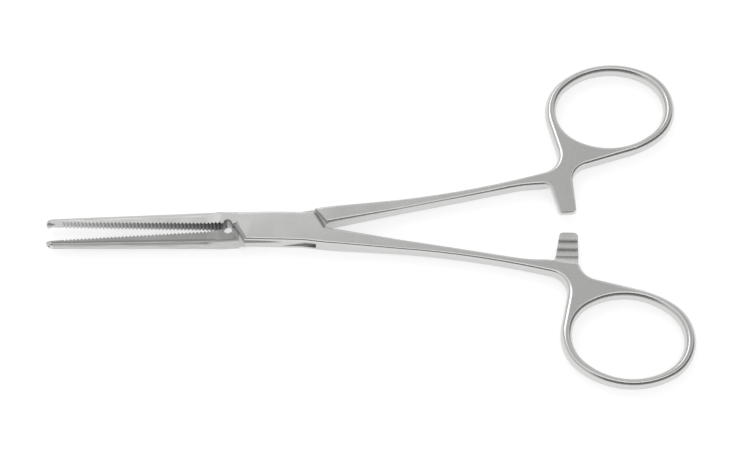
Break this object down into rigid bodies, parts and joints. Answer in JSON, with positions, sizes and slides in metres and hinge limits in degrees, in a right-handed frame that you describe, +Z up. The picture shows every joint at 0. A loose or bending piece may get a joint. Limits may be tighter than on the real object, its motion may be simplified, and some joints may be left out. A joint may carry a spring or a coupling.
{
  "type": "hemostat forceps",
  "caption": "Straight box-lock hemostatic forceps with serrated jaws, toothed tips, ratchet arms and oval finger rings.",
  "frame": {"origin": "on the axis of the lock pin, in the plane of the lock's underside, which is the plane it lies on", "axes": "+X towards the finger rings along the line that halves the angle between the jaws, +Y towards the ring of the tang half, +Z up through the flat side"},
  "size_m": [0.1599, 0.0886, 0.0054],
  "materials": {
    "steel": "satin stainless steel on the flat sides, polished on the rounded flanks",
    "pin_steel": "satin stainless steel, ground flush with the lock"
  },
  "bodies": {
    "box_half": {"box_half": "steel", "lock_pin": "pin_steel"},
    "tang_half": {"tang_half": "steel"}
  },
  "joints": [
    {"name": "lock_pivot", "type": "hinge", "parent": "box_half", "child": "tang_half", "pos_m": [0, 0, 0.0027], "axis": [0, 0, 1], "range_deg": [-5, 60]}
  ]
}
